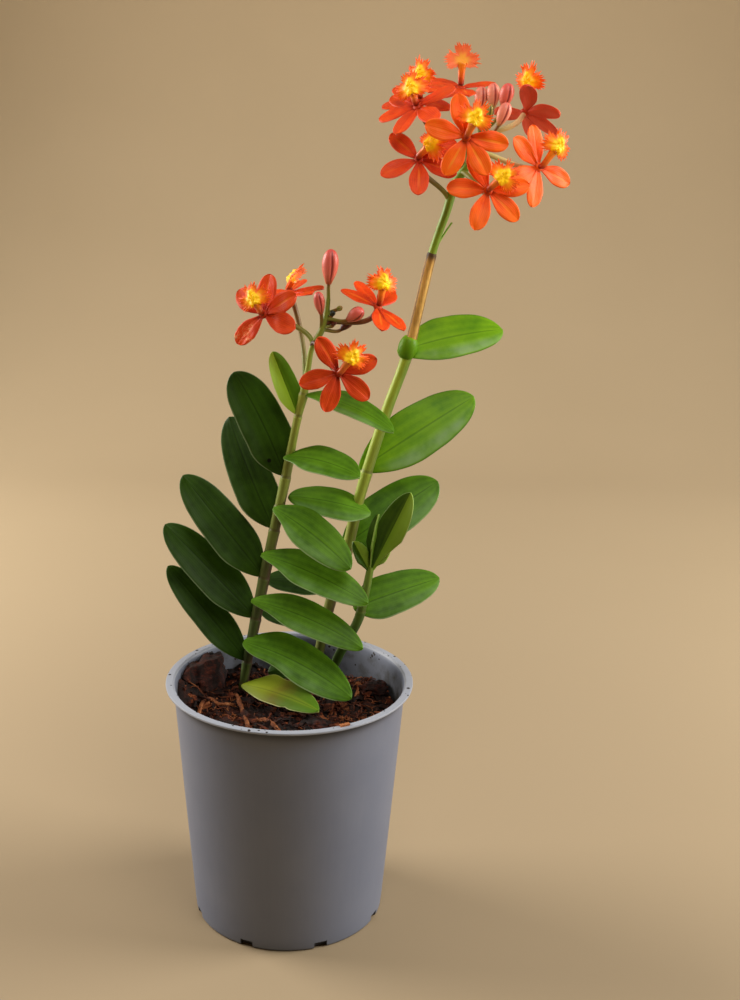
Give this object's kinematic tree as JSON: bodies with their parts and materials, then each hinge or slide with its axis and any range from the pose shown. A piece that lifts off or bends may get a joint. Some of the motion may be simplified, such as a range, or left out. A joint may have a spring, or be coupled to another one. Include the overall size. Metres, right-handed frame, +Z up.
{
  "type": "potted epidendrum orchid",
  "caption": "Reed-stemmed epidendrum orchid in a round tapered nursery pot: leafy canes rise from bark mix and carry heads of star-shaped blooms with fringed lips.",
  "frame": {"origin": "centre of the flat underside of the pot", "axes": "+Z up along the pot's axis, +X to the side that the canes lean to, +Y away from the side that the leaves and blooms face"},
  "size_m": [0.1742, 0.1146, 0.3843],
  "materials": {
    "pot_plastic": "matt grey-lavender moulded plastic, paler along the rim",
    "bark_mix": "damp dark bark and coir, rough",
    "bark_chunk": "dark red-brown bark, rough",
    "root_skin": "dry tan root skin, dull",
    "cane_skin": "smooth green to olive cane, satin, purple-brown and papery at the joints",
    "dark_leaf": "thick waxy dark green leaf, semi-gloss",
    "mid_leaf": "thick waxy mid green leaf, semi-gloss",
    "light_leaf": "thick waxy yellow-green leaf, semi-gloss",
    "faded_leaf": "yellowing leaf, satin",
    "tepal_skin": "soft satin petal, orange-red with coral backs",
    "lip_skin": "soft satin lip, yellow middle and orange-red fringe"
  },
  "bodies": {
    "root": {"pot": "pot_plastic", "potting_mix": "bark_mix", "bark_chunk_back_left": "bark_chunk", "bark_chunk_left": "bark_chunk", "bark_chunk_right": "bark_chunk", "bark_chunk_front": "bark_chunk", "surface_root_1": "root_skin", "surface_root_2": "root_skin", "surface_root_3": "root_skin", "cane_a": "cane_skin", "cane_b": "cane_skin", "shoot_c": "cane_skin", "leaf_a_left_1": "dark_leaf", "leaf_a_left_2": "dark_leaf", "leaf_a_left_3": "dark_leaf", "leaf_a_left_4": "dark_leaf", "leaf_a_left_5": "dark_leaf", "leaf_b_left_1": "dark_leaf", "leaf_b_left_2": "dark_leaf", "leaf_b_left_3": "dark_leaf", "leaf_a_right_2": "mid_leaf", "leaf_a_right_3": "mid_leaf", "leaf_a_right_4": "mid_leaf", "leaf_a_right_5": "mid_leaf", "leaf_a_right_6": "mid_leaf", "leaf_a_right_7": "mid_leaf", "leaf_b_right_1": "mid_leaf", "leaf_b_left_4": "mid_leaf", "leaf_c_right_1": "mid_leaf", "leaf_a_left_6": "light_leaf", "leaf_b_right_2": "light_leaf", "leaf_b_right_3": "light_leaf", "leaf_a_right_1": "faded_leaf", "bloom_a1": "tepal_skin", "lip_a1": "lip_skin", "bloom_a2": "tepal_skin", "lip_a2": "lip_skin", "bloom_a3": "tepal_skin", "lip_a3": "lip_skin", "bloom_a4": "tepal_skin", "lip_a4": "lip_skin", "bloom_b1": "tepal_skin", "lip_b1": "lip_skin", "bloom_b2": "tepal_skin", "lip_b2": "lip_skin", "bloom_b3": "tepal_skin", "lip_b3": "lip_skin", "bloom_b4": "tepal_skin", "lip_b4": "lip_skin", "bloom_b5": "tepal_skin", "lip_b5": "lip_skin", "bloom_b6": "tepal_skin", "lip_b6": "lip_skin", "bloom_b7": "tepal_skin", "lip_b7": "lip_skin", "bloom_b8": "tepal_skin", "lip_b8": "lip_skin"}
  },
  "joints": []
}
